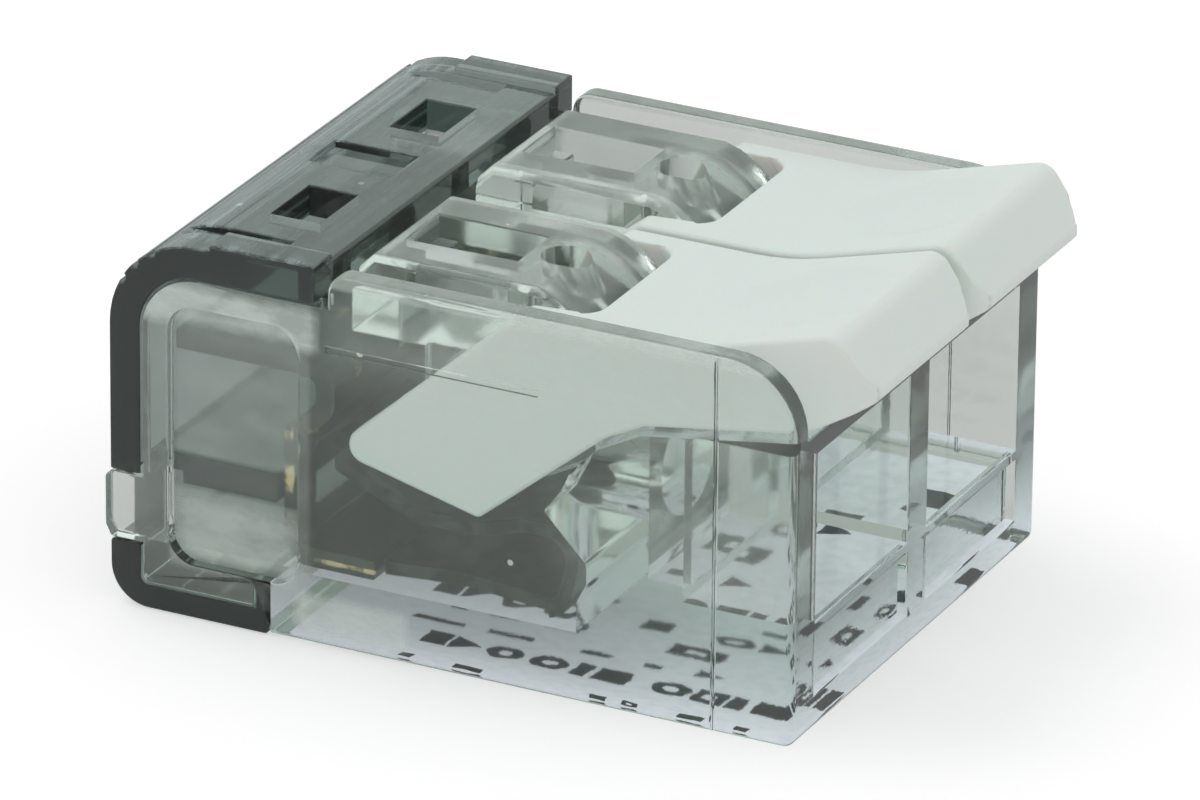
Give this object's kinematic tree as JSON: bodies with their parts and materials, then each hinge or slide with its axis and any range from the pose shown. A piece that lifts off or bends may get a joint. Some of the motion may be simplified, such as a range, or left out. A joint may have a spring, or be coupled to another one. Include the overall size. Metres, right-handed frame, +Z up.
{
  "type": "lever wire connector",
  "caption": "Clear lever wire connector with white levers, a smoke-coloured rear cap, a shared busbar and clamp springs.",
  "frame": {"origin": "middle of the closed connector's bounding box, at its flat underside", "axes": "+X towards the wire entries, +Z up, Y from one wire to the next"},
  "size_m": [0.0194, 0.0132, 0.0101],
  "materials": {
    "clear_plastic": "gloss",
    "smoke_plastic": "gloss",
    "lever_plastic": "satin",
    "tinned_copper": "satin",
    "spring_steel": "satin"
  },
  "bodies": {
    "connector": {"housing": "clear_plastic", "rear_cap": "smoke_plastic", "busbar": "tinned_copper", "clamp_spring_1": "spring_steel", "clamp_spring_2": "spring_steel"},
    "lever_1": {"lever_1": "lever_plastic"},
    "lever_2": {"lever_2": "lever_plastic"}
  },
  "joints": [
    {"name": "lever_1_hinge", "type": "hinge", "parent": "connector", "child": "lever_1", "pos_m": [-0.00036, -0.003, 0.0065], "axis": [0, -1, 0], "range_deg": [0, 80], "deforming": ["clamp_spring_1"]},
    {"name": "lever_2_hinge", "type": "hinge", "parent": "connector", "child": "lever_2", "pos_m": [-0.00036, 0.003, 0.0065], "axis": [0, -1, 0], "range_deg": [0, 80], "deforming": ["clamp_spring_2"]}
  ]
}
